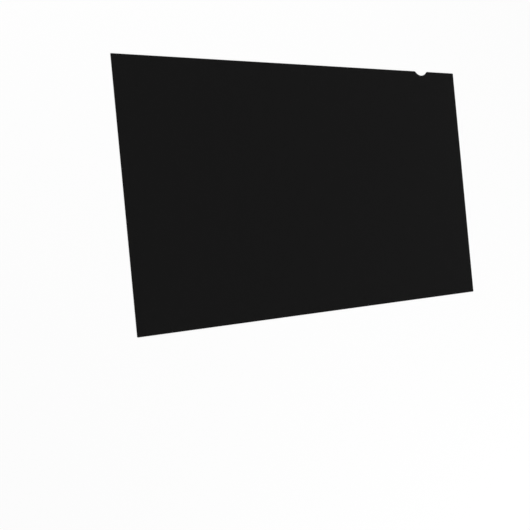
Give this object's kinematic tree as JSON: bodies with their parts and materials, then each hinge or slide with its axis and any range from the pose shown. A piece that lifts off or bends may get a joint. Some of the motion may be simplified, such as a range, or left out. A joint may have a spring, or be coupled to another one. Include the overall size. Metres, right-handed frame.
{
  "type": "monitor privacy filter",
  "caption": "Thin, dark, see-through rectangular sheet with a shallow finger notch in its top edge, held in front of a widescreen display to narrow the angle it can be read from.",
  "frame": {"origin": "middle of the back face, which lies on the table", "axes": "+Z out of the front face, +X along the width, to the right as the user faces the screen, +Y towards the notched top edge"},
  "size_m": [0.531, 0.299, 0.0005],
  "materials": {
    "louvre_film": "dark smoked see-through film with a fine anti-glare matt face and a black cut edge"
  },
  "bodies": {
    "root": {"filter_sheet": "louvre_film"}
  },
  "joints": []
}
